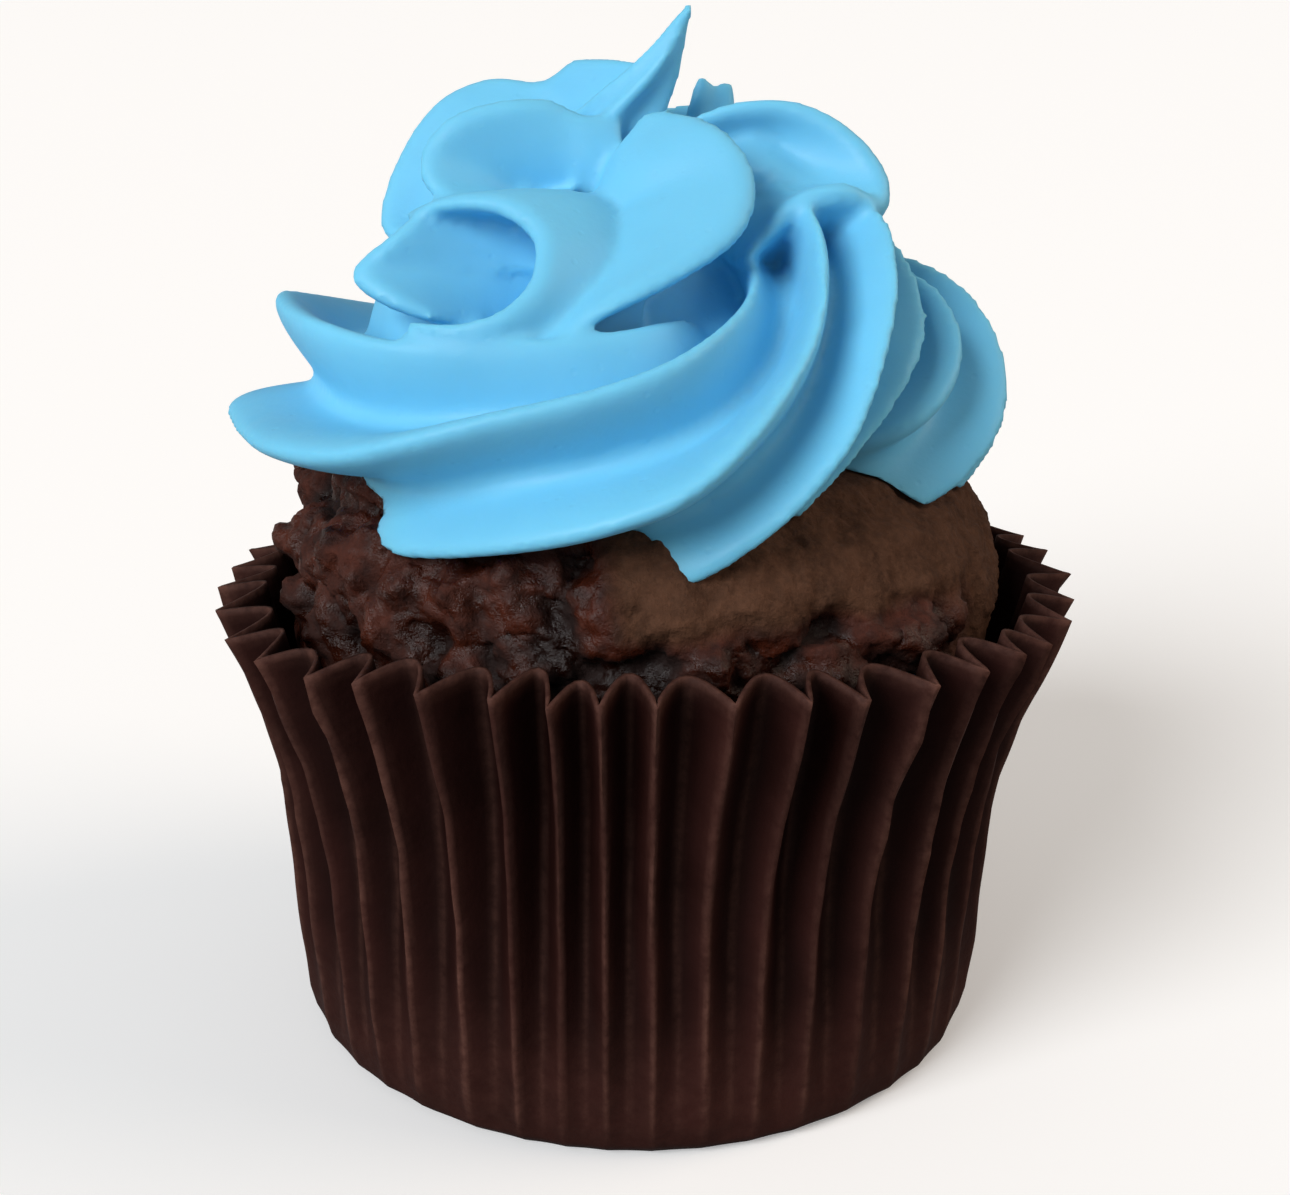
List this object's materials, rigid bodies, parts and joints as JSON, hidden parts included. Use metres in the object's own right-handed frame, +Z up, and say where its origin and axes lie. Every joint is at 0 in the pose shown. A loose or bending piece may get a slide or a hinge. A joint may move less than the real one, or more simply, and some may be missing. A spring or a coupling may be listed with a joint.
{
  "type": "cupcake",
  "caption": "Chocolate cupcake in a pleated brown paper case, topped with a tall piped swirl of pale blue buttercream.",
  "frame": {"origin": "centre of the bounding box in X and Y, on the flat bottom of the paper case", "axes": "+Z up through the cake to the peak of the swirl; +X to the right and -Y toward the viewer of the side where the curl of the top layer opens"},
  "size_m": [0.075, 0.075, 0.0843],
  "materials": {
    "case_paper": "matte greaseproof",
    "chocolate_sponge": "matte baked crumb",
    "blue_buttercream": "soft satin"
  },
  "bodies": {
    "root": {"paper_case": "case_paper", "sponge": "chocolate_sponge", "buttercream": "blue_buttercream"}
  },
  "joints": []
}
